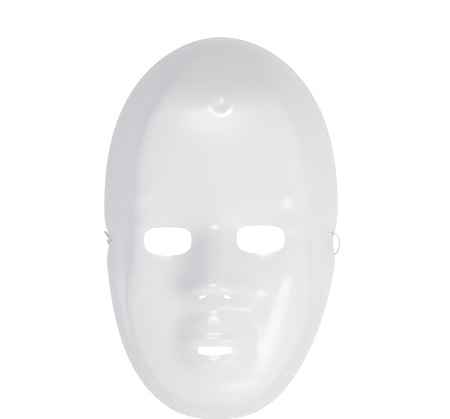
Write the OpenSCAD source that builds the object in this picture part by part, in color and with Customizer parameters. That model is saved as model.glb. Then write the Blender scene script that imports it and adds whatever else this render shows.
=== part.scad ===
// Plain full-face costume mask: one vacuum-formed plastic shell, held on the
// head by a round elastic cord that is tied through a hole at each temple.
//
// Frame: +Z is up as worn, -Y is forward (the way the face looks), +X is the
// viewer's right. The back of the shell's trimmed rim lies in the plane y = 0
// and the eyes are level with the origin.

/* [Shell outline] */
// Half the width of the trimmed rim at its widest level
half_width = 78; // [72:0.5:84]
// Height of the widest level above the eyes
wide_z = 16; // [10:1:22]
// Height of the top of the rim above the widest level
crown_height = 118; // [110:0.5:126]
// Drop of the bottom of the rim below the widest level
chin_drop = 137; // [130:0.5:144]
// How far the trimmed outline sits to the right of the face above the mouth
trim_shift = 3; // [0:0.25:4]
// Thickness of the formed sheet
sheet = 0.5; // [0.4:0.05:0.8]

/* [Relief] */
// Depth of the forehead plane in front of the rim
forehead_depth = 55; // [50:0.5:60]
// Height of the nose's tip above the plane of the cheeks
nose_height = 25; // [20:0.5:28]
// Height of the mound around the mouth
muzzle_height = 11; // [8:0.5:14]

/* [Slots] */
// Distance from the middle of one eye slot to the middle of the other
eye_spacing = 61; // [58:0.5:66]
// Width of an eye slot
eye_width = 31; // [28:0.5:34]
// Height of an eye slot
eye_height = 18; // [15:0.5:20]
// Width of the mouth slot
mouth_width = 22; // [16:0.5:26]
// Height of the mouth slot
mouth_height = 5; // [4.6:0.1:6]
// Distance between the middles of the nostril slits
nostril_spacing = 16.5; // [14:0.5:18]

/* [Cord] */
// Diameter of the elastic cord
cord_d = 1.3; // [1:0.1:1.5]
// Diameter of the punched holes for the cord
hole_d = 2.6; // [2.4:0.1:3]
// Distance of each hole's middle from the trimmed edge
hole_inset = 2.4; // [2.2:0.1:4]

/* [Hidden] */

plastic = [0.93, 0.93, 0.94];
elastic = [0.84, 0.84, 0.80];

// --- Outline of the trimmed rim -------------------------------------------

// The crown and the jaw are halves of superellipses: powers of x and z
crown_powers = [1.9, 2.5];
jaw_powers = [2.45, 2];
shift_bottom = -98;  // below this level the outline is centred on the face
shift_span = 90;

function clamp01(t) = min(1, max(0, t));
function smooth(t) = let (s = clamp01(t)) s * s * (3 - 2 * s);
function middle_x(z) = trim_shift * smooth((z - shift_bottom) / shift_span);
// 0 at the middle of the face and 1 on the trimmed edge, before the cord pulls it
function reach(x, z) =
    let (
        up = z >= wide_z,
        powers = up ? crown_powers : jaw_powers,
        share_x = abs(x - middle_x(z)) / half_width,
        share_z = abs(z - wide_z) / (up ? crown_height : chin_drop)
    )
    pow(pow(share_x, powers[0]) + pow(share_z, powers[1]), 1 / powers[0]);

// Distance in from the trimmed edge, exact at the edge itself
step = 0.5;
function inset(x, z) =
    let (
        slope_x = (reach(x + step, z) - reach(x - step, z)) / (2 * step),
        slope_z = (reach(x, z + step) - reach(x, z - step)) / (2 * step)
    )
    max(0, 1 - reach(x, z)) / max(0.001, norm([slope_x, slope_z]));

// A point of the edge: 90 is the crown, 0 the right temple, -90 the chin
function edge_point(angle) =
    let (
        side = cos(angle) < 0 ? -1 : 1,
        up = sin(angle) >= 0,
        powers = up ? crown_powers : jaw_powers,
        wide = half_width * pow(abs(cos(angle)), 2 / powers[0]),
        high = (up ? crown_height : -chin_drop) * pow(abs(sin(angle)), 2 / powers[1]),
        z = wide_z + high
    )
    [middle_x(z) + side * wide, z];

function inward(angle) =
    let (
        along = edge_point(angle + 1) - edge_point(angle - 1),
        length = norm(along)
    )
    [-along[1], along[0]] / length;

// --- Relief: how far each point of the shell stands in front of the rim ---

function least(a, b, blend) = (a + b - norm([a - b, blend])) / 2;
function ramp(t, blend) = (t + norm([t, blend])) / 2;
function rising(t) = 1 / (1 + exp(-t));
function bell(x, z, at, size) =
    exp(-pow((x - at[0]) / size[0], 2) - pow((z - at[1]) / size[1], 2));

// Some values differ between the forehead and the jaw; the change is about this level
jaw_z = -24;
jaw_span = 9;
function by_level(pair, z) = pair[0] + (pair[1] - pair[0]) * rising((jaw_z - z) / jaw_span);

flare_slope = 0.9;         // the border slopes gently out of the trim line
flare_width = [5.5, 4.2];
wall_slope = [2, 4.6];     // added to the flare's slope on the wall behind it
wall_round = [4.5, 2];     // rounding between the flare and the wall
corner_round = [9, 6.5];   // rounding between the wall and the face

// Bends of the face: slope added, level where it starts, rounding
crown_bend = [1.1, 96, 10];
cheek_bend = [0.13, -10, 12];
chin_bend = [0.5, -98, 5];
jaw_taper = [0.4, -22, 12];
forehead_bow = [0.0006, 10, 15];  // the first value is a curvature here
face_half = 52;                   // half the width of the flatter middle of the face
side_slope = [0.4, 0.34];         // added beside it
side_round = 7;
side_bow = [3, 4];                // how far the whole face falls back at bow_x
bow_x = 48;
function over(bend, z) = ramp(z - bend[1], bend[2]);
function under(bend, z) = ramp(bend[1] - z, bend[2]);

// The face without its edge or features
function plane_depth(x, z) =
    let (
        half = face_half - jaw_taper[0] * under(jaw_taper, z),
        middle = forehead_depth - forehead_bow[0] * pow(over(forehead_bow, z), 2)
            - crown_bend[0] * over(crown_bend, z)
            - cheek_bend[0] * under(cheek_bend, z) - chin_bend[0] * under(chin_bend, z),
        side = by_level(side_slope, z) * ramp(abs(x) - half, side_round)
            + by_level(side_bow, z) * pow(x / bow_x, 2)
    )
    middle - side;

// The flared border and the wall that rises from it
function wall_depth(from_edge, z) =
    let (
        flare = by_level(flare_width, z),
        blend = by_level(wall_round, z)
    )
    flare_slope * from_edge
        + by_level(wall_slope, z) * (ramp(from_edge - flare, blend) - ramp(-flare, blend));

nose_top = 7;
nose_length = 42;
nose_root = 0.13;          // rounding where the bridge starts
nose_tip = 0.1;            // and where it ends
nose_half = [7.5, 10.5];   // half-width of the bridge, and what the tip adds to it
ridge_r = 2;
nose_base = -39.5;
nose_base_round = 2.3;
function nose_depth(x, z) =
    let (
        share = least(ramp((nose_top - z) / nose_length, nose_root), 1, nose_tip),
        out = norm([x, ridge_r]) - ridge_r
    )
    nose_height * share * exp(-pow(out / (nose_half[0] + nose_half[1] * share), 2))
        * rising((z - nose_base) / nose_base_round);

muzzle_z = -70;
muzzle_half = [22, 25];
muzzle_power = 4;
function muzzle_depth(x, z) =
    muzzle_height
        * exp(-pow(norm([x / muzzle_half[0], (z - muzzle_z) / muzzle_half[1]]), muzzle_power));

// Height, middle and size of each rounded feature; the first list is mirrored
PAIRED = [
    [-4.2, [26, 1],    [16, 13]],   // eye sockets
    [1.5,  [48, 28],   [10, 6.5]],  // brows
    [1.2,  [50, 8],    [6.5, 5]],   // outer corners of the eyes
    [-1.6, [62, 17],   [13, 13]],   // temples
    [3,    [14, -34],  [7, 8]],     // wings of the nose
    [2,    [48, -28],  [18, 20]]    // cheekbones
];
SINGLE = [
    [0.8,  [3, 24],    [12, 10]],   // forehead between the brows
    [1.8,  [0, -66.5], [17, 3.2]],  // upper lip
    [-1.2, [0, -74],   [17, 3]],    // line of the mouth
    [1.8,  [0, -82],   [13, 3.6]],  // lower lip
    [-2,   [0, -93],   [18, 5]],    // fold under the lip
    [4,    [0, -106],  [20, 9]],    // chin
    [-0.5, [0, -57],   [3, 5]],     // groove under the nose
    [1.1,  [3.5, 89],  [13, 8]],    // swelling round the dimple
    [-1.6, [4.5, 88],  [4.4, 4.4]], // dimple where the sheet met the mould's vent
    [-0.7, [-42, 71],  [8, 7]]      // shallow dent
];

function total(list, i = 0, so_far = 0) =
    i == len(list) ? so_far : total(list, i + 1, so_far + list[i]);
function features(x, z) =
    total([for (f = PAIRED) f[0] * (bell(x, z, f[1], f[2]) + bell(-x, z, f[1], f[2]))])
        + total([for (f = SINGLE) f[0] * bell(x, z, f[1], f[2])])
        + nose_depth(x, z) + muzzle_depth(x, z);

edge_settle = 6;                             // the relief starts from nothing at the edge
rim_stand = sheet / norm([1, flare_slope]);  // brings the edge's back to y = 0
edge_roll = 0.8;                             // how far the edge is turned back
edge_roll_width = 0.5;
function shell_depth(x, z) =
    let (
        from_edge = inset(x, z),
        blend = by_level(corner_round, z),
        face = plane_depth(x, z) + features(x, z),
        at_edge = least(plane_depth(x, z), wall_depth(0, z), blend)
    )
    rim_stand + max(0, least(face, wall_depth(from_edge, z), blend)
        - at_edge * exp(-from_edge / edge_settle))
        + edge_roll * (1 - exp(-from_edge / edge_roll_width));

// The cord's pull bends the border inwards at the temples
waist_z = -1;
waist_span = 9;
waist_left = 2.8;
waist_right = 2.6;
waist_fade = 16;  // how far in from the edge the bend reaches
function pulled(x, z) =
    let (
        right = x > middle_x(z),
        pull = (right ? waist_right : waist_left) * exp(-pow((z - waist_z) / waist_span, 2)),
        fade = pow(1 - min(1, inset(x, z) / waist_fade), 2)
    )
    x + (right ? -1 : 1) * pull * fade;

function outer_point(x, z) = [pulled(x, z), -shell_depth(x, z), z];
function outward(x, z) =
    let (
        slope_x = (shell_depth(x + step, z) - shell_depth(x - step, z)) / (2 * step),
        slope_z = (shell_depth(x, z + step) - shell_depth(x, z - step)) / (2 * step)
    )
    [-slope_x, -1, -slope_z] / norm([slope_x, 1, slope_z]);
function inner_point(x, z) = outer_point(x, z) - sheet * outward(x, z);

// --- Mesh of the shell -----------------------------------------------------

columns = 76;
finer = 4;           // columns are closer together where the cord pulls the edge in
function by_the_cord(angle) = abs(cos(angle)) > 0.96 && sin(angle) < -0.03;
angles = [for (i = [0 : columns - 1])
    let (
        angle = 360 * i / columns,
        parts = by_the_cord(angle) || by_the_cord(angle + 360 / columns) ? finer : 1
    )
    for (k = [0 : parts - 1]) angle + k * 360 / columns / parts];
segments = len(angles);
edge_rings = [0, 0.7, 2, 3.6, 5.2, 6.8, 8.4, 10, 11.6, 13.2, 15, 17.5, 20.5, 24];
face_rings = [0.92, 0.84, 0.76, 0.68, 0.6, 0.52, 0.44, 0.37, 0.3, 0.24, 0.18, 0.13, 0.08, 0.04];
face_middle = [0, -42];

function ring_places() =
    let (last = edge_rings[len(edge_rings) - 1])
    concat(
        [for (e = edge_rings) for (angle = angles) edge_point(angle) + e * inward(angle)],
        [for (s = face_rings) for (angle = angles)
            face_middle + s * (edge_point(angle) + last * inward(angle) - face_middle)]
    );

module shell_sheet() {
    places = ring_places();
    rings = len(edge_rings) + len(face_rings);
    // the normal is taken just inside the edge, where the surface goes on
    outer = [for (k = [0 : len(places) - 1]) outer_point(places[k][0], places[k][1])];
    inner = [for (k = [0 : len(places) - 1])
        let (use = k < segments ? places[k] + inward(angles[k]) : places[k])
        outer[k] - sheet * outward(use[0], use[1])];
    middle_out = outer_point(face_middle[0], face_middle[1]);
    middle_in = inner_point(face_middle[0], face_middle[1]);
    count = rings * segments;
    tip_out = 2 * count;
    tip_in = tip_out + 1;
    faces = [
        for (r = [0 : rings - 2]) for (i = [0 : segments - 1])
            let (
                a = r * segments + i,
                b = r * segments + (i + 1) % segments,
                c = b + segments,
                d = a + segments
            )
            each [[c, b, a], [d, c, a],
                  [count + a, count + b, count + c], [count + a, count + c, count + d]],
        for (i = [0 : segments - 1])
            let (
                a = (rings - 1) * segments + i,
                b = (rings - 1) * segments + (i + 1) % segments
            )
            each [[tip_out, b, a], [count + a, count + b, tip_in]],
        for (i = [0 : segments - 1])
            let (j = (i + 1) % segments)
            each [[count + i, i, j], [count + j, count + i, j]]
    ];
    polyhedron(concat(outer, inner, [middle_out, middle_in]), faces);
}

// --- Slots and holes -------------------------------------------------------

cut_depth = 120;
right_eye_z = -0.7;
left_eye_z = -2;
eye_powers = [3.4, 2.5];   // of the superellipses above and below an opening's middle
mouth_z = -73.2;
mouth_shift = 0.5;         // the mouth and nostrils are cut a little to the right
mouth_powers = [5, 5];
nostril_z = -38.4;
nostril_shift = 0.75;
nostril_size = [5, 2];
nostril_powers = [2.4, 2.4];
nostril_tilt = 20;

function rounded(size, powers, count = 40) =
    [for (i = [0 : count - 1])
        let (
            a = 360 * i / count,
            power = sin(a) >= 0 ? powers[0] : powers[1]
        )
        [sign(cos(a)) * size[0] / 2 * pow(abs(cos(a)), 2 / power),
         sign(sin(a)) * size[1] / 2 * pow(abs(sin(a)), 2 / power)]];

module cut_forward(x, z, tilt = 0) {
    translate([x, 1, z]) rotate([90, 0, 0]) rotate([0, 0, tilt])
        linear_extrude(cut_depth) children();
}

module slots() {
    for (side = [-1, 1]) {
        cut_forward(side * eye_spacing / 2, side > 0 ? right_eye_z : left_eye_z)
            polygon(rounded([eye_width, eye_height], eye_powers));
        cut_forward(nostril_shift + side * nostril_spacing / 2, nostril_z, -side * nostril_tilt)
            polygon(rounded(nostril_size, nostril_powers, 16));
    }
    cut_forward(mouth_shift, mouth_z)
        polygon(rounded([mouth_width, mouth_height], mouth_powers));
}

right_hole_z = 3.3;
left_hole_z = -1;
function hole_x(side, z) =
    middle_x(z) + side * (half_width * pow(1 - pow((wide_z - z) / chin_drop, jaw_powers[1]),
        1 / jaw_powers[0]) - hole_inset);

module cord_hole(side, z) {
    x = hole_x(side, z);
    way = outward(x, z);
    translate(outer_point(x, z))
        rotate([0, acos(way[2]), atan2(way[1], way[0])])
        cylinder(h = 8, d = hole_d, center = true, $fn = 24);
}

module mask_shell() {
    color(plastic)
    difference() {
        shell_sheet();
        slots();
        cord_hole(1, right_hole_z);
        cord_hole(-1, left_hole_z);
    }
}

// --- Elastic cord ----------------------------------------------------------

// The cord hangs behind the rim between two knots and swings about this line
knot_y = 3.6;
knot_z = -10;
right_knot_x = 74;
left_knot_x = -67;
knot_r = 1.8;
cord_sides = 8;

// From knot to knot as it hangs, each pair [x, z] in the plane y = knot_y
CORD_ROUTE = [
    [71.9, -10], [70, -10.6], [67.8, -13], [66, -17], [63, -27], [58, -43], [51, -60],
    [42, -77], [31, -92], [18, -103], [3.5, -107], [-11, -103], [-24, -92], [-35, -77],
    [-44, -60], [-51, -43], [-56, -27], [-59, -17], [-60.8, -13], [-63, -10.6], [-64.9, -10]
];
// Out of the knot, through the hole from behind, slack round the edge and back
RIGHT_LOOP = [
    [74, 2.4, -9], [73.6, 1, -6], [73.3, -0.6, -2], [73.3, -1.8, 1.4], [74.1, -2.5, 3],
    [75.5, -3.15, 3.4], [76.85, -3.9, 3.3], [78.2, -4.6, 3], [79.7, -4.5, 2.3],
    [81.1, -3.4, 0.8], [82, -1.5, -1.8], [82, 0.7, -5.2], [80.9, 2.4, -8.6],
    [79.1, 3.3, -11], [77.2, 3.7, -11.9], [75, 3.6, -10.9]
];
// The same on the other side, drawn tight round the edge
LEFT_LOOP = [
    [-67, 2.4, -9], [-66.3, 1.1, -6.6], [-65.7, -0.6, -3.9], [-65.9, -1.8, -2],
    [-67.1, -2.5, -1.1], [-68.7, -3.2, -0.95], [-70.1, -3.95, -1], [-71.2, -4.3, -1.1],
    [-72, -3.7, -1.2], [-72.5, -2.5, -1.35], [-72.75, -1.1, -1.5], [-72.75, 0.1, -1.9],
    [-72.3, 1.2, -2.8], [-71.2, 2.4, -4.6], [-70, 3.1, -6.7], [-68.6, 3.4, -8.6]
];
RIGHT_TAIL = [[74, 4.4, -11], [73.4, 5.2, -13], [72.4, 5.6, -15.4], [71, 5.6, -17.6]];
LEFT_TAIL = [[-67.6, 4.6, -8.8], [-68.5, 4.6, -6], [-69.7, 4.2, -3.2], [-71.2, 3.7, -0.6],
    [-73, 3.2, 2], [-74.8, 2.8, 4.5]];

function unit(v) = v / norm(v);
function direction(route, i) =
    unit(route[min(i + 1, len(route) - 1)] - route[max(i - 1, 0)]);
function across(side, way) = unit(side - (side * way) * way);
// One side direction at each point, carried along without twist
function side_ways(route, i = 0, done = []) =
    i == len(route) ? done
    : side_ways(route, i + 1, concat(done,
        [across(i == 0 ? [0.3, 1, 0.2] : done[i - 1], direction(route, i))]));

// A round cord along a route, one ring of points at each point of the route
module tube(route) {
    u = side_ways(route);
    n = len(route);
    points = [for (i = [0 : n - 1]) for (k = [0 : cord_sides - 1])
        let (a = 360 * k / cord_sides)
        route[i] + cord_d / 2 * (cos(a) * u[i] + sin(a) * cross(direction(route, i), u[i]))];
    faces = [
        [for (k = [0 : cord_sides - 1]) k],
        [for (k = [cord_sides - 1 : -1 : 0]) (n - 1) * cord_sides + k],
        for (i = [0 : n - 2]) for (k = [0 : cord_sides - 1])
            let (
                a = i * cord_sides + k,
                b = i * cord_sides + (k + 1) % cord_sides
            )
            each [[b, a, a + cord_sides], [b, a + cord_sides, b + cord_sides]]
    ];
    polyhedron(points, faces);
}

module knot(x, tail) {
    color(elastic)
    union() {
        translate([x, knot_y, knot_z]) sphere(r = knot_r, $fn = 24);
        tube(tail);
    }
}

module right_loop() { color(elastic) tube(RIGHT_LOOP); }
module left_loop() { color(elastic) tube(LEFT_LOOP); }
module right_knot() { knot(right_knot_x, RIGHT_TAIL); }
module left_knot() { knot(left_knot_x, LEFT_TAIL); }
module elastic_cord() { color(elastic) tube([for (p = CORD_ROUTE) [p[0], knot_y, p[1]]]); }

mask_shell();
right_loop();
left_loop();
right_knot();
left_knot();
elastic_cord();
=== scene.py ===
"""Looks of the plain white full-face mask: a thin vacuum-formed plastic shell
and the round elastic cord that is tied through a hole at each temple.

Lengths are in millimetres until a mesh is made, in the frame of the CAD model:
+Z up, -Y forward, +X the viewer's right.
"""

import math

import bpy
import numpy as np
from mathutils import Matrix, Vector, geometry


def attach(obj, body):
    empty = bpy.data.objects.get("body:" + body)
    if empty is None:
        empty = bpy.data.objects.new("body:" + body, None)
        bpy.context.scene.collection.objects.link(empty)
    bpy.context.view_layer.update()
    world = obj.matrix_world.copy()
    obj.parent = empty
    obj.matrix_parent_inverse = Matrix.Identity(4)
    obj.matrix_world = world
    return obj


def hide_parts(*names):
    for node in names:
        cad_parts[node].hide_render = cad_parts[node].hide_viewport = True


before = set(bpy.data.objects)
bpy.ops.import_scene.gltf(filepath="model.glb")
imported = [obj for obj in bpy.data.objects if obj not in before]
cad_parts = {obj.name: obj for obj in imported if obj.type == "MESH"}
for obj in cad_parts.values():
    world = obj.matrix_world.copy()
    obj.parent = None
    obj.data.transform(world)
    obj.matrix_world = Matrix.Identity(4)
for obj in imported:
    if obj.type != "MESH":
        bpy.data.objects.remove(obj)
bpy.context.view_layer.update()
scene = bpy.context.scene
MM = 0.001

# --- Camera -----------------------------------------------------------------

CAMERA_AZIMUTH = math.radians(1.5)
CAMERA_DISTANCE = 3.0
FRAME_WIDTH = 0.300      # what the camera takes in at the rim of the mask
SENSOR = 36.0
AIM_RIGHT = 0.0057       # the camera's axis, to the right of and above the origin
AIM_UP = 0.019


def make_camera():
    right = Vector((math.cos(CAMERA_AZIMUTH), math.sin(CAMERA_AZIMUTH), 0))
    back = Vector((math.sin(CAMERA_AZIMUTH), -math.cos(CAMERA_AZIMUTH), 0))
    data = bpy.data.cameras.new("camera")
    data.sensor_width = SENSOR
    data.lens = SENSOR * CAMERA_DISTANCE / FRAME_WIDTH
    data.clip_start, data.clip_end = 0.05, 40
    camera = bpy.data.objects.new("camera", data)
    scene.collection.objects.link(camera)
    camera.location = right * AIM_RIGHT + Vector((0, 0, AIM_UP)) + back * CAMERA_DISTANCE
    camera.rotation_euler = (-back).to_track_quat("-Z", "Y").to_euler()
    scene.camera = camera


make_camera()

# --- Materials --------------------------------------------------------------


class Nodes:
    """A short way to write a node material."""

    def __init__(self, name):
        self.material = bpy.data.materials.new(name)
        self.material.use_nodes = True
        self.tree = self.material.node_tree
        self.tree.nodes.clear()
        self.shader = self.add("ShaderNodeBsdfPrincipled")
        output = self.add("ShaderNodeOutputMaterial")
        self.link(self.shader.outputs["BSDF"], output.inputs["Surface"])

    def add(self, kind, **values):
        node = self.tree.nodes.new(kind)
        for name, value in values.items():
            setattr(node, name, value)
        return node

    def link(self, source, target):
        self.tree.links.new(source, target)

    def noise(self, vector, scale, detail=2.0, roughness=0.5):
        node = self.add("ShaderNodeTexNoise")
        node.inputs["Scale"].default_value = scale
        node.inputs["Detail"].default_value = detail
        node.inputs["Roughness"].default_value = roughness
        self.link(vector, node.inputs["Vector"])
        return node.outputs["Fac"]

    def spread(self, value, low, high, start=0.3, end=0.7):
        node = self.add("ShaderNodeMapRange")
        node.inputs["From Min"].default_value = start
        node.inputs["From Max"].default_value = end
        node.inputs["To Min"].default_value = low
        node.inputs["To Max"].default_value = high
        self.link(value, node.inputs["Value"])
        return node.outputs["Result"]

    def math(self, operation, a, b=None):
        node = self.add("ShaderNodeMath", operation=operation)
        for socket, value in zip(node.inputs, (a, b)):
            if isinstance(value, (int, float)):
                socket.default_value = value
            elif value is not None:
                self.link(value, socket)
        return node.outputs[0]

    def colours(self, value, stops):
        node = self.add("ShaderNodeValToRGB")
        ramp = node.color_ramp
        while len(ramp.elements) < len(stops):
            ramp.elements.new(0.5)
        for element, (place, colour) in zip(ramp.elements, stops):
            element.position = place
            element.color = (*colour, 1)
        self.link(value, node.inputs["Fac"])
        return node.outputs["Color"]

    def bump(self, height, strength, distance, normal=None):
        node = self.add("ShaderNodeBump")
        node.inputs["Strength"].default_value = strength
        node.inputs["Distance"].default_value = distance
        self.link(height, node.inputs["Height"])
        if normal is not None:
            self.link(normal, node.inputs["Normal"])
        return node.outputs["Normal"]


def plastic_material():
    m = Nodes("white_plastic")
    place = m.add("ShaderNodeTexCoord").outputs["Object"]
    broad = m.noise(place, 16, 2)
    fine = m.noise(place, 90, 2, 0.55)
    m.link(
        m.colours(broad, [(0.3, (0.800, 0.802, 0.815)), (0.7, (0.822, 0.822, 0.832))]),
        m.shader.inputs["Base Color"],
    )
    m.link(m.spread(fine, 0.2, 0.25), m.shader.inputs["Roughness"])
    m.link(m.bump(broad, 0.3, 0.8 * MM), m.shader.inputs["Normal"])
    m.shader.inputs["IOR"].default_value = 1.5
    m.shader.inputs["Subsurface Weight"].default_value = 0.15
    m.shader.inputs["Subsurface Radius"].default_value = (1.0, 0.9, 0.85)
    m.shader.inputs["Subsurface Scale"].default_value = 0.0012
    return m.material


BRAID_STRANDS = 4
BRAID_PITCH = 1.7
# Painted shade: the white elastic is painted grey at its left tail, on the side away from the
# key light, and stays white at the right loop and in front of the rim; this painted colour
# follows x plus the forward share below times -y, between the two limits below, in metres.
PAINTED_SHADE_FORWARD = 22
PAINTED_SHADE_LEFT, PAINTED_SHADE_RIGHT = -0.1542, 0.0058
MIX_A, MIX_B, MIX_RESULT = 6, 7, 2    # the Mix node's colour sockets


def elastic_material():
    m = Nodes("braided_elastic")
    coord = m.add("ShaderNodeTexCoord")
    parts = m.add("ShaderNodeSeparateXYZ")
    m.link(coord.outputs["UV"], parts.inputs["Vector"])
    along, around = parts.outputs["X"], parts.outputs["Y"]
    strands = []
    for way in (1, -1):
        turn = m.math("MULTIPLY", along, way * 2 * math.pi)
        phase = m.math("ADD", turn, m.math("MULTIPLY", around, 2 * math.pi * BRAID_STRANDS))
        strands.append(m.math("SINE", phase))
    weave = m.math("MAXIMUM", strands[0], strands[1])
    fibre = m.noise(coord.outputs["Object"], 9000, 2, 0.7)
    place = m.add("ShaderNodeSeparateXYZ")
    m.link(coord.outputs["Object"], place.inputs["Vector"])
    forward = m.math("MULTIPLY", place.outputs["Y"], -PAINTED_SHADE_FORWARD)
    across = m.math("ADD", place.outputs["X"], forward)
    # painted shade along the elastic: grey at the left tail, white at the right loop
    painted_shade = m.colours(
        m.spread(across, 0, 1, PAINTED_SHADE_LEFT, PAINTED_SHADE_RIGHT),
        [(0.11, (0.44, 0.44, 0.38)), (0.19, (0.68, 0.68, 0.64)),
         (0.88, (0.7, 0.7, 0.67)), (0.95, (0.97, 0.97, 0.96))],
    )
    # painted shade: the grooves between the braid's strands are painted darker than the raised
    # strands
    light = m.colours(weave, [(0.0, (0.66, 0.66, 0.64)), (0.9, (0.93, 0.93, 0.9))])
    tint = m.add("ShaderNodeMix", data_type="RGBA", blend_type="MULTIPLY")
    soil = m.noise(coord.outputs["Object"], 60, 3)
    m.link(m.spread(soil, 0.85, 1), tint.inputs["Factor"])
    m.link(light, tint.inputs[MIX_A])
    m.link(painted_shade, tint.inputs[MIX_B])
    m.link(tint.outputs[MIX_RESULT], m.shader.inputs["Base Color"])
    m.link(m.spread(fibre, 0.7, 0.95), m.shader.inputs["Roughness"])
    m.link(m.bump(m.math("ADD", weave, fibre), 0.5, 0.08 * MM), m.shader.inputs["Normal"])
    m.shader.inputs["Sheen Weight"].default_value = 0.3
    m.shader.inputs["Sheen Roughness"].default_value = 0.5
    return m.material


# --- Elastic cord -----------------------------------------------------------

CORD_D = 1.3
CORD_SIDES = 20
CORD_STEP = 0.34
STRAND_RISE = 0.05       # of the radius
KNOT_REACH = 2.02        # of the knot curve's parameter, to either side
KNOT_SIZE = (0.72, 0.62, 0.62)
KNOT_Y = 3.6
RIGHT_KNOT = (74, KNOT_Y, -10)
LEFT_KNOT = (-67, KNOT_Y, -10)
# From knot to knot as it hangs, each pair (x, z) in the plane y = KNOT_Y
CORD_ROUTE = [
    (71.9, -10), (70, -10.6), (67.8, -13), (66, -17), (63, -27), (58, -43), (51, -60),
    (42, -77), (31, -92), (18, -103), (3.5, -107), (-11, -103), (-24, -92), (-35, -77),
    (-44, -60), (-51, -43), (-56, -27), (-59, -17), (-60.8, -13), (-63, -10.6), (-64.9, -10),
]
RIGHT_LOOP = [
    (74, 2.4, -9), (73.6, 1, -6), (73.3, -0.6, -2), (73.3, -1.8, 1.4), (74.1, -2.5, 3),
    (75.5, -3.15, 3.4), (76.85, -3.9, 3.3), (78.2, -4.6, 3), (79.7, -4.5, 2.3),
    (81.1, -3.4, 0.8), (82, -1.5, -1.8), (82, 0.7, -5.2), (80.9, 2.4, -8.6),
    (79.1, 3.3, -11), (77.2, 3.7, -11.9), (75, 3.6, -10.9),
]
LEFT_LOOP = [
    (-67, 2.4, -9), (-66.3, 1.1, -6.6), (-65.7, -0.6, -3.9), (-65.9, -1.8, -2),
    (-67.1, -2.5, -1.1), (-68.7, -3.2, -0.95), (-70.1, -3.95, -1), (-71.2, -4.3, -1.1),
    (-72, -3.7, -1.2), (-72.5, -2.5, -1.35), (-72.75, -1.1, -1.5), (-72.75, 0.1, -1.9),
    (-72.3, 1.2, -2.8), (-71.2, 2.4, -4.6), (-70, 3.1, -6.7), (-68.6, 3.4, -8.6),
]
RIGHT_TAIL = [(73.4, 5.2, -13), (72.4, 5.6, -15.4), (71, 5.6, -17.6)]
LEFT_TAIL = [
    (-68.5, 4.6, -6), (-69.7, 4.2, -3.2), (-71.2, 3.7, -0.6), (-73, 3.2, 2), (-74.8, 2.8, 4.5),
]


def through(points, step):
    """Points about step apart on a smooth curve through the given ones."""
    p = np.array(points, float)
    p = np.vstack([2 * p[0] - p[1], p, 2 * p[-1] - p[-2]])
    dense = []
    for a, b, c, d in zip(p[:-3], p[1:-2], p[2:-1], p[3:]):
        t = np.linspace(0, 1, 40, endpoint=False)[:, None]
        dense.append(
            0.5 * (2 * b + (c - a) * t + (2 * a - 5 * b + 4 * c - d) * t**2
                   + (3 * b - a - 3 * c + d) * t**3)
        )
    dense = np.vstack([*dense, p[-2:-1]])
    run = np.concatenate([[0], np.cumsum(np.linalg.norm(np.diff(dense, axis=0), axis=1))])
    at = np.linspace(0, run[-1], max(2, round(run[-1] / step)) + 1)
    return np.stack([np.interp(at, run, dense[:, k]) for k in range(3)], 1)


def add_mesh(name, points, faces, material, uvs=None, sharp=()):
    """A piece from points in millimetres; uvs has one pair for each face corner."""
    mesh = bpy.data.meshes.new(name)
    mesh.from_pydata((np.asarray(points) * MM).tolist(), [], faces)
    mesh.materials.append(material)
    mesh.shade_smooth()
    if uvs is not None:
        layer = mesh.uv_layers.new(name="UVMap")
        layer.data.foreach_set("uv", np.asarray(uvs, float).ravel())
    if len(sharp):
        wanted = {tuple(sorted(pair)) for pair in sharp}
        marks = mesh.attributes.new("sharp_edge", "BOOLEAN", "EDGE")
        marks.data.foreach_set(
            "value", [tuple(sorted(e.vertices)) in wanted for e in mesh.edges]
        )
    mesh.validate()
    obj = bpy.data.objects.new(name, mesh)
    scene.collection.objects.link(obj)
    return obj


def braided_tube(name, line, material):
    """The elastic along a line of points, its strands raised a little."""
    n = len(line)
    way = np.gradient(line, axis=0)
    way /= np.linalg.norm(way, axis=1)[:, None]
    side = np.zeros_like(line)
    last = np.array([0.3, 1.0, 0.2])
    for i in range(n):
        last = last - way[i] * (last @ way[i])
        last = last / np.linalg.norm(last)
        side[i] = last
    other = np.cross(way, side)
    run = np.concatenate([[0], np.cumsum(np.linalg.norm(np.diff(line, axis=0), axis=1))])
    share = np.arange(CORD_SIDES) / CORD_SIDES
    turn, along = np.meshgrid(share, run / BRAID_PITCH)
    strands = [np.sin(2 * np.pi * (s * along + BRAID_STRANDS * turn)) for s in (1, -1)]
    radius = CORD_D / 2 * (1 - STRAND_RISE + STRAND_RISE * np.maximum(*strands))
    angle = 2 * np.pi * turn
    points = (
        line[:, None]
        + (radius * np.cos(angle))[..., None] * side[:, None]
        + (radius * np.sin(angle))[..., None] * other[:, None]
    ).reshape(-1, 3)
    faces, uvs = [], []
    for i in range(n - 1):
        for k in range(CORD_SIDES):
            j = (k + 1) % CORD_SIDES
            a, b = i * CORD_SIDES, (i + 1) * CORD_SIDES
            faces.append((a + k, a + j, b + j, b + k))
            u0, u1 = along[i, 0], along[i + 1, 0]
            v0, v1 = k / CORD_SIDES, (k + 1) / CORD_SIDES
            uvs += [(u0, v0), (u0, v1), (u1, v1), (u1, v0)]
    for row, order in ((0, -1), (n - 1, 1)):
        ring = [row * CORD_SIDES + k for k in range(CORD_SIDES)][::order]
        faces.append(tuple(ring))
        uvs += [(along[row, 0], share[k % CORD_SIDES]) for k in ring]
    return add_mesh(name, points, faces, material, uvs)


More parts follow.
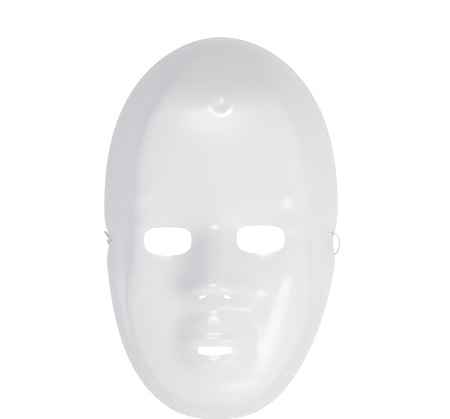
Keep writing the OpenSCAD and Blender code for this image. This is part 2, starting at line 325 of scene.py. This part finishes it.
def knot_line(centre, way, tail):
    """An overhand knot, on the usual polynomial curve of one, and its tail."""
    t = np.linspace(-KNOT_REACH, KNOT_REACH, 60)
    curl = np.stack([t**3 - 3 * t, t**4 - 4 * t**2 + 2, (t**5 - 10 * t) / 4.75], 1)
    curl *= np.array(KNOT_SIZE)
    way = np.array(way, float) / np.linalg.norm(way)
    up = np.cross(way, (0, 1, 0))
    up /= np.linalg.norm(up)
    axes = np.stack([way, up, np.cross(way, up)])
    return through([*(np.array(centre) + curl @ axes), *tail], CORD_STEP)


ELASTIC = elastic_material()
held = {
    "right_loop": through(RIGHT_LOOP, CORD_STEP),
    "left_loop": through(LEFT_LOOP, CORD_STEP),
    "right_knot": knot_line(RIGHT_KNOT, (0.6, 0.2, -1), RIGHT_TAIL),
    "left_knot": knot_line(LEFT_KNOT, (-0.4, 0.3, 1), LEFT_TAIL),
}
for node, line in held.items():
    piece = braided_tube("elastic_" + node, line, ELASTIC)
    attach(piece, "mask")
    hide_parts(node)

cord_line = through([(x, KNOT_Y, z) for x, z in CORD_ROUTE], CORD_STEP)
strap = braided_tube("elastic_strap", cord_line, ELASTIC)
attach(strap, "strap")
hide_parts("elastic_cord")

# --- Shape of the shell, as in the CAD source --------------------------------

HALF_WIDTH, WIDE_Z, CROWN, CHIN = 78, 16, 118, 137
CROWN_POWERS, JAW_POWERS = (1.9, 2.5), (2.45, 2)
TRIM_SHIFT = 3           # of the outline's middle, from the chin to the cheeks
SHIFT_BOTTOM, SHIFT_SPAN = -98, 90
SHEET = 0.5
FLARE_SLOPE = 0.9
EDGE_SETTLE = 6
EDGE_ROLL, EDGE_ROLL_WIDTH = 0.8, 0.5
STEP = 0.5

# Each pair is a value on the forehead, and how much it changes below the cheeks
FLARE_WIDTH = (5.5, -1.3)
WALL_ROUND = (4.5, -2.5)
WALL_SLOPE = (2, 2.6)
CORNER_ROUND = (9, -2.5)
SIDE_SLOPE = (0.4, -0.06)
SIDE_BOW = (3, 1)

FOREHEAD_DEPTH = 55
HALF_PLANE = 52
NOSE_HEIGHT, NOSE_TOP, NOSE_LENGTH = 25, 7, 42
NOSE_WIDTH, NOSE_SPREAD = 7.5, 10.5
NOSE_BASE, NOSE_BASE_ROUND = -39.5, 2.3
RIDGE_ROUND = 2
MUZZLE_HEIGHT, MUZZLE_Z, MUZZLE_SIZE = 11, -70, (22, 25)

# The cord's pull on the border at the temples
WAIST_Z, WAIST_SPAN = -1, 9
WAIST_LEFT, WAIST_RIGHT = 2.8, 2.6
WAIST_FADE = 16


def smooth(t):
    s = np.clip(t, 0, 1)
    return s * s * (3 - 2 * s)


def rising(t):
    return 1 / (1 + np.exp(-t))


def least(a, b, blend):
    return (a + b - np.hypot(a - b, blend)) / 2


def ramp(t, blend):
    return (t + np.hypot(t, blend)) / 2


def bell(x, z, at, size):
    return np.exp(-(((x - at[0]) / size[0]) ** 2) - ((z - at[1]) / size[1]) ** 2)


def middle_x(z):
    return TRIM_SHIFT * smooth((z - SHIFT_BOTTOM) / SHIFT_SPAN)


def reach(x, z):
    """0 in the middle of the outline and 1 on it."""
    up = z >= WIDE_Z
    power = np.where(up, CROWN_POWERS[0], JAW_POWERS[0])
    power_z = np.where(up, CROWN_POWERS[1], JAW_POWERS[1])
    share_z = np.abs(z - WIDE_Z) / np.where(up, CROWN, CHIN)
    share_x = np.abs(x - middle_x(z)) / HALF_WIDTH
    return (share_x**power + share_z**power_z) ** (1 / power)


def inset(x, z):
    """About how far in from the outline a point lies."""
    slope_x = (reach(x + STEP, z) - reach(x - STEP, z)) / (2 * STEP)
    slope_z = (reach(x, z + STEP) - reach(x, z - STEP)) / (2 * STEP)
    return np.maximum(0, 1 - reach(x, z)) / np.maximum(0.001, np.hypot(slope_x, slope_z))


def edge_point(angle):
    along, rise = np.abs(np.cos(angle)), np.sin(angle)
    side = np.where(np.cos(angle) < 0, -1, 1)
    up = rise >= 0
    power = np.where(up, CROWN_POWERS[0], JAW_POWERS[0])
    power_z = np.where(up, CROWN_POWERS[1], JAW_POWERS[1])
    height = np.abs(rise) ** (2 / power_z)
    z = WIDE_Z + np.where(up, CROWN * height, -CHIN * height)
    return middle_x(z) + side * HALF_WIDTH * along ** (2 / power), z


def low(z):
    """0 on the forehead and 1 below the cheeks."""
    return rising(-(z + 24) / 9)


def by_level(pair, z):
    return pair[0] + pair[1] * low(z)


def plane_depth(x, z):
    """The front of the face without its features."""
    half_plane = HALF_PLANE - 0.4 * ramp(-z - 22, 12)    # narrower towards the jaw
    middle = (
        FOREHEAD_DEPTH
        - 0.0006 * ramp(z - 10, 15) ** 2    # the forehead leans back
        - 1.1 * ramp(z - 96, 10)            # the crown
        - 0.13 * ramp(-z - 10, 12)          # from the cheeks to the jaw
        - 0.5 * ramp(-z - 98, 5)            # under the chin
    )
    side = by_level(SIDE_SLOPE, z) * ramp(np.abs(x) - half_plane, 7)
    side = side + by_level(SIDE_BOW, z) * (x / 48) ** 2
    return middle - side


def wall_depth(from_edge, z):
    """The flared border, and the side wall that goes on from it."""
    flare, blend = by_level(FLARE_WIDTH, z), by_level(WALL_ROUND, z)
    wall = ramp(from_edge - flare, blend) - ramp(-flare, blend)
    return FLARE_SLOPE * from_edge + by_level(WALL_SLOPE, z) * wall


def nose_depth(x, z):
    share = least(ramp((NOSE_TOP - z) / NOSE_LENGTH, 0.13), 1, 0.1)
    out = np.hypot(x, RIDGE_ROUND) - RIDGE_ROUND
    width = NOSE_WIDTH + NOSE_SPREAD * share
    rise = NOSE_HEIGHT * share * np.exp(-((out / width) ** 2))
    return rise * rising((z - NOSE_BASE) / NOSE_BASE_ROUND)


def muzzle_depth(x, z):
    away = np.hypot(x / MUZZLE_SIZE[0], (z - MUZZLE_Z) / MUZZLE_SIZE[1])
    return MUZZLE_HEIGHT * np.exp(-(away**4))


# Swellings and hollows: height, middle and half-size; those in PAIRED are on both sides
PAIRED = [
    (-4.2, (26, 1), (16, 13)),     # eye sockets
    (1.5, (48, 28), (10, 6.5)),    # brows
    (1.2, (50, 8), (6.5, 5)),      # outer corners of the eyes
    (-1.6, (62, 17), (13, 13)),    # temples
    (3, (14, -34), (7, 8)),        # wings of the nose
    (2, (48, -28), (18, 20)),      # cheekbones
]
SINGLE = [
    (0.8, (3, 24), (12, 10)),        # forehead between the brows
    (1.8, (0, -66.5), (17, 3.2)),    # upper lip
    (-1.2, (0, -74), (17, 3)),       # line of the mouth
    (1.8, (0, -82), (13, 3.6)),      # lower lip
    (-2, (0, -93), (18, 5)),         # fold under the lip
    (4, (0, -106), (20, 9)),         # chin
    (-0.5, (0, -57), (3, 5)),        # groove under the nose
    (1.1, (3.5, 89), (13, 8)),       # swelling round the dimple
    (-1.6, (4.5, 88), (4.4, 4.4)),   # dimple of the mould's vent
    (-0.7, (-42, 71), (8, 7)),       # shallow dent
]


def shell_depth(x, z):
    from_edge = inset(x, z)
    blend = by_level(CORNER_ROUND, z)
    face = plane_depth(x, z) + nose_depth(x, z) + muzzle_depth(x, z)
    for height, at, size in PAIRED:
        face = face + height * (bell(x, z, at, size) + bell(-x, z, at, size))
    for height, at, size in SINGLE:
        face = face + height * bell(x, z, at, size)
    at_edge = least(plane_depth(x, z), wall_depth(0, z), blend)
    stand = SHEET / math.hypot(1, FLARE_SLOPE)
    rise = least(face, wall_depth(from_edge, z), blend)
    rise = rise - at_edge * np.exp(-from_edge / EDGE_SETTLE)
    roll = EDGE_ROLL * (1 - np.exp(-from_edge / EDGE_ROLL_WIDTH))
    return stand + np.maximum(0, rise) + roll


def pulled(x, z):
    """The border bent inwards at the temples by the cord."""
    right = x > middle_x(z)
    pull = np.where(right, WAIST_RIGHT, WAIST_LEFT)
    pull = pull * np.exp(-(((z - WAIST_Z) / WAIST_SPAN) ** 2))
    fade = (1 - np.minimum(1, inset(x, z) / WAIST_FADE)) ** 2
    return x + np.where(right, -1, 1) * pull * fade


def outer_points(x, z):
    return np.stack([pulled(x, z), -shell_depth(x, z), z], -1)


def outward(x, z):
    slope_x = (shell_depth(x + STEP, z) - shell_depth(x - STEP, z)) / (2 * STEP)
    slope_z = (shell_depth(x, z + STEP) - shell_depth(x, z - STEP)) / (2 * STEP)
    way = np.stack([-slope_x, -np.ones_like(slope_x), -slope_z], -1)
    return way / np.linalg.norm(way, axis=-1, keepdims=True)


# --- Mesh of the shell --------------------------------------------------------

EYE_SPACING, LEFT_EYE_Z, RIGHT_EYE_Z = 61, -2, -0.7
MOUTH_SHIFT, MOUTH_Z = 0.5, -73.2
NOSTRIL_SPACING, NOSTRIL_SHIFT, NOSTRIL_Z = 16.5, 0.75, -38.4
NOSTRIL_TILT = 20
# Each slot: width, height, the powers of its upper and lower half, and its points
EYE = (31, 18, 3.4, 2.5, 150)
MOUTH = (22, 5, 5, 5, 110)
NOSTRIL = (5, 2, 2.4, 2.4, 44)
HOLE_D = 2.6
HOLE_INSET = 2.4
RIGHT_HOLE_Z, LEFT_HOLE_Z = 3.3, -1

EDGE_COLUMNS = 620
WALL_RINGS = [0.2, 0.7, *np.arange(1.5, 26.1, 0.85)]    # how far in from the edge
SLOT_RINGS = (0.2, 0.55)                                # how far out from a slot
SLOT_CLEAR = 0.9         # no other point is nearer to a slot
GRID_GAP = 0.6           # between the last ring and the grid
GRID = 1.25
GRID_BOX = (-80, 84, -124, 138)
NOSE_GRID = 0.85
NOSE_BOX = (-23, 23, -52, 16)
HEXAGON_ROW = 0.866


def rounded(width, height, power_up, power_down, count):
    """A slot whose upper and lower halves are superellipses."""
    a = np.linspace(0, 2 * np.pi, 4000, endpoint=False)
    power = np.where(np.sin(a) >= 0, power_up, power_down)
    x = np.sign(np.cos(a)) * width / 2 * np.abs(np.cos(a)) ** (2 / power)
    z = np.sign(np.sin(a)) * height / 2 * np.abs(np.sin(a)) ** (2 / power)
    return even(np.stack([x, z], 1), count)


def even(loop, count):
    """The same closed loop with evenly spaced points."""
    closed = np.vstack([loop, loop[:1]])
    run = np.concatenate([[0], np.cumsum(np.linalg.norm(np.diff(closed, axis=0), axis=1))])
    at = np.arange(count) * run[-1] / count
    return np.stack([np.interp(at, run, closed[:, k]) for k in (0, 1)], 1)


def turned(loop, degrees, x, z):
    """The loop turned about its middle and moved to a place."""
    c, s = math.cos(math.radians(degrees)), math.sin(math.radians(degrees))
    return loop @ np.array([[c, s], [-s, c]]) + (x, z)


def grown(loop, by):
    """The loop moved outwards by a distance; it runs anticlockwise."""
    ahead = np.roll(loop, -1, 0) - np.roll(loop, 1, 0)
    out = np.stack([ahead[:, 1], -ahead[:, 0]], 1)
    return loop + by * out / np.linalg.norm(out, axis=1)[:, None]


def anticlockwise(loop):
    x, z = loop[:, 0], loop[:, 1]
    return loop if sum(x * np.roll(z, -1) - np.roll(x, -1) * z) >= 0 else loop[::-1]


def hole_loop(side, z, count=40):
    """The round hole for the cord, laid out in the plane of x and z."""
    share = (1 - ((WIDE_Z - z) / CHIN) ** JAW_POWERS[1]) ** (1 / JAW_POWERS[0])
    x = float(middle_x(np.array(z)) + side * (HALF_WIDTH * share - HOLE_INSET))
    d = 0.1
    at = outer_points(np.array([x - d, x + d, x, x]), np.array([z, z, z - d, z + d]))
    across, up = (at[1] - at[0]) / (2 * d), (at[3] - at[2]) / (2 * d)
    first = across / np.linalg.norm(across)
    second = up - first * (up @ first)
    second /= np.linalg.norm(second)
    jacobian = np.stack([across, up], 1)
    a = np.linspace(0, 2 * np.pi, count, endpoint=False)
    ring = HOLE_D / 2 * (np.cos(a)[:, None] * first + np.sin(a)[:, None] * second)
    return anticlockwise(np.linalg.lstsq(jacobian, ring.T, rcond=None)[0].T + (x, z))


def inside(points, loop):
    """Which of the points lie inside a closed loop."""
    x, z = points[:, 0][:, None], points[:, 1][:, None]
    x1, z1 = loop[:, 0], loop[:, 1]
    x2, z2 = np.roll(x1, -1), np.roll(z1, -1)
    cross = ((z1 > z) != (z2 > z)) & (x < (x2 - x1) * (z - z1) / (z2 - z1 + 1e-12) + x1)
    return cross.sum(1) % 2 == 1


def hexagons(step, x0, x1, z0, z1):
    """Points of a grid of triangles with sides of about a step."""
    rows = np.arange(z0, z1, step * HEXAGON_ROW)
    return np.array(
        [(x + (step / 2 if i % 2 else 0), z)
         for i, z in enumerate(rows) for x in np.arange(x0, x1, step)]
    )


def shell_layout():
    """Points in plan, the edges to keep, and the loops: the outline, then the cuts."""
    fine = np.linspace(-np.pi, np.pi, 20001)[:-1]
    edge = even(np.stack(edge_point(fine), 1), EDGE_COLUMNS)
    cuts = []
    for side in (-1, 1):
        eye_z = RIGHT_EYE_Z if side > 0 else LEFT_EYE_Z
        cuts.append(rounded(*EYE) + (side * EYE_SPACING / 2, eye_z))
        nostril_x = NOSTRIL_SHIFT + side * NOSTRIL_SPACING / 2
        cuts.append(turned(rounded(*NOSTRIL), -side * NOSTRIL_TILT, nostril_x, NOSTRIL_Z))
    cuts.append(rounded(*MOUTH) + (MOUTH_SHIFT, MOUTH_Z))
    cuts.append(hole_loop(1, RIGHT_HOLE_Z))
    cuts.append(hole_loop(-1, LEFT_HOLE_Z))
    kept = [edge, *cuts]
    near = [grown(edge, -e) for e in WALL_RINGS]
    beside = [grown(c, e) for c in cuts for e in SLOT_RINGS]
    last = grown(edge, -(WALL_RINGS[-1] + GRID_GAP))
    x0, x1, z0, z1 = NOSE_BOX
    coarse = hexagons(GRID, *GRID_BOX)
    x, z = coarse[:, 0], coarse[:, 1]
    in_nose = (x > x0) & (x < x1) & (z > z0) & (z < z1)
    grid = np.vstack([coarse[~in_nose], hexagons(NOSE_GRID, *NOSE_BOX)])
    grid = grid[inside(grid, last)]
    filler = np.vstack([*near, grid])
    for c in cuts:
        filler = filler[~inside(filler, grown(c, SLOT_CLEAR))]
    filler = filler[reach(filler[:, 0], filler[:, 1]) < 1]
    points = np.vstack([*kept, *beside, filler])
    edges, at = [], 0
    for loop in kept:
        n = len(loop)
        edges += [(at + i, at + (i + 1) % n) for i in range(n)]
        at += n
    return points, edges, kept


def open_edges(triangles):
    """The edges that only one triangle has, in the direction that it runs them."""
    found = {}
    for t in triangles:
        for pair in ((t[0], t[1]), (t[1], t[2]), (t[2], t[0])):
            if pair[::-1] in found:
                del found[pair[::-1]]
            else:
                found[pair] = True
    return list(found)


def make_shell(material):
    points, edges, (outline, *cuts) = shell_layout()
    plan, _, triangles, *_ = geometry.delaunay_2d_cdt(
        [Vector(p) for p in points.tolist()], edges, [], 0, 1e-6
    )
    plan = np.array([tuple(p) for p in plan])
    triangles = np.array(triangles)
    middle = plan[triangles].mean(1)
    use = inside(middle, outline)
    for cut in cuts:
        use &= ~inside(middle, cut)
    triangles = triangles[use]
    a, b, c = (plan[triangles[:, k]] for k in range(3))
    area = (b - a)[:, 0] * (c - a)[:, 1] - (b - a)[:, 1] * (c - a)[:, 0]
    triangles[area < 0] = triangles[area < 0][:, ::-1]
    x, z = plan[:, 0], plan[:, 1]
    outer = outer_points(x, z)
    # The normal is taken just inside the edge, where the surface goes on
    near_edge = np.clip(1 - inset(x, z), 0, 1)
    towards = np.stack([x, z - WIDE_Z], 1)
    towards /= np.maximum(1e-6, np.linalg.norm(towards, axis=1))[:, None]
    way = outward(x - near_edge * towards[:, 0], z - near_edge * towards[:, 1])
    inner = outer - SHEET * way
    n = len(plan)
    faces = [tuple(t) for t in triangles.tolist()]
    faces += [(t[2] + n, t[1] + n, t[0] + n) for t in faces]
    border = open_edges(triangles.tolist())
    faces += [(j, i, i + n, j + n) for i, j in border]
    sharp = border + [(i + n, j + n) for i, j in border]
    return add_mesh("white_shell", np.vstack([outer, inner]), faces, material, sharp=sharp)


shell = make_shell(plastic_material())
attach(shell, "mask")
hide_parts("mask_shell")

# --- Studio -------------------------------------------------------------------

FLOOR_Z = -0.8           # in metres, far below the mask, which a face holds up
FLOOR_HALF = 6


def area_light(name, place, aim, size, power, colour=(1, 1, 1)):
    data = bpy.data.lights.new(name, "AREA")
    data.shape = "RECTANGLE"
    data.size, data.size_y = size
    data.energy = power
    data.color = colour
    light = bpy.data.objects.new(name, data)
    scene.collection.objects.link(light)
    light.visible_camera = False
    light.location = place
    light.rotation_euler = (Vector(aim) - Vector(place)).to_track_quat("-Z", "Y").to_euler()


def make_floor():
    m = Nodes("pale_floor")
    place = m.add("ShaderNodeTexCoord").outputs["Object"]
    grain = m.noise(place, 900, 2)
    m.link(m.colours(grain, [(0.3, (0.88, 0.88, 0.88)), (0.7, (0.9, 0.9, 0.9))]),
           m.shader.inputs["Base Color"])
    m.shader.inputs["Roughness"].default_value = 0.9
    m.shader.inputs["Specular IOR Level"].default_value = 0.1
    m.shader.inputs["Emission Color"].default_value = (1, 1, 1, 1)
    m.shader.inputs["Emission Strength"].default_value = 0.24
    mesh = bpy.data.meshes.new("floor")
    corners = ((-1, -1), (1, -1), (1, 1), (-1, 1))
    mesh.from_pydata([(FLOOR_HALF * x, FLOOR_HALF * y, 0) for x, y in corners],
                     [], [(0, 1, 2, 3)])
    mesh.materials.append(m.material)
    floor = bpy.data.objects.new("floor", mesh)
    scene.collection.objects.link(floor)
    floor.location.z = FLOOR_Z


def make_world():
    world = bpy.data.worlds.new("studio")
    scene.world = world
    world.use_nodes = True
    tree = world.node_tree
    tree.nodes.clear()
    coord = tree.nodes.new("ShaderNodeTexCoord")
    split = tree.nodes.new("ShaderNodeSeparateXYZ")
    tree.links.new(coord.outputs["Generated"], split.inputs["Vector"])

    def math_node(operation, *values):
        node = tree.nodes.new("ShaderNodeMath")
        node.operation = operation
        for socket, value in zip(node.inputs, values):
            if isinstance(value, (int, float)):
                socket.default_value = value
            else:
                tree.links.new(value, socket)
        return node.outputs[0]

    # Bright behind the mask, darker overhead, darker and cooler towards the left
    x, y, z = (split.outputs[k] for k in "XYZ")
    overhead = math_node("MULTIPLY", math_node("MAXIMUM", z, 0.0), 0.26)
    behind = math_node("MULTIPLY", math_node("POWER", math_node("MAXIMUM", y, 0.0), 6), 0.45)
    level = math_node("ADD", math_node("MULTIPLY", x, 0.1), 0.79)
    level = math_node("ADD", math_node("SUBTRACT", level, overhead), behind)
    tint = tree.nodes.new("ShaderNodeValToRGB")
    tint.color_ramp.elements[0].color = (0.93, 0.965, 1.0, 1)
    tint.color_ramp.elements[1].color = (0.99, 0.99, 0.985, 1)
    tree.links.new(math_node("MULTIPLY_ADD", x, 0.5, 0.5), tint.inputs["Fac"])
    background = tree.nodes.new("ShaderNodeBackground")
    tree.links.new(tint.outputs["Color"], background.inputs["Color"])
    tree.links.new(level, background.inputs["Strength"])
    output = tree.nodes.new("ShaderNodeOutputWorld")
    tree.links.new(background.outputs["Background"], output.inputs["Surface"])


make_world()
make_floor()
area_light("key", (0.81, -1.08, -0.67), (0, 0, 0), (0.58, 0.58), 4.0, (1, 0.96, 0.88))
area_light("upper", (-0.045, -1.4, 0.60), (0, 0, 0.05), (0.32, 0.28), 2.7)
scene.view_settings.view_transform = "Standard"
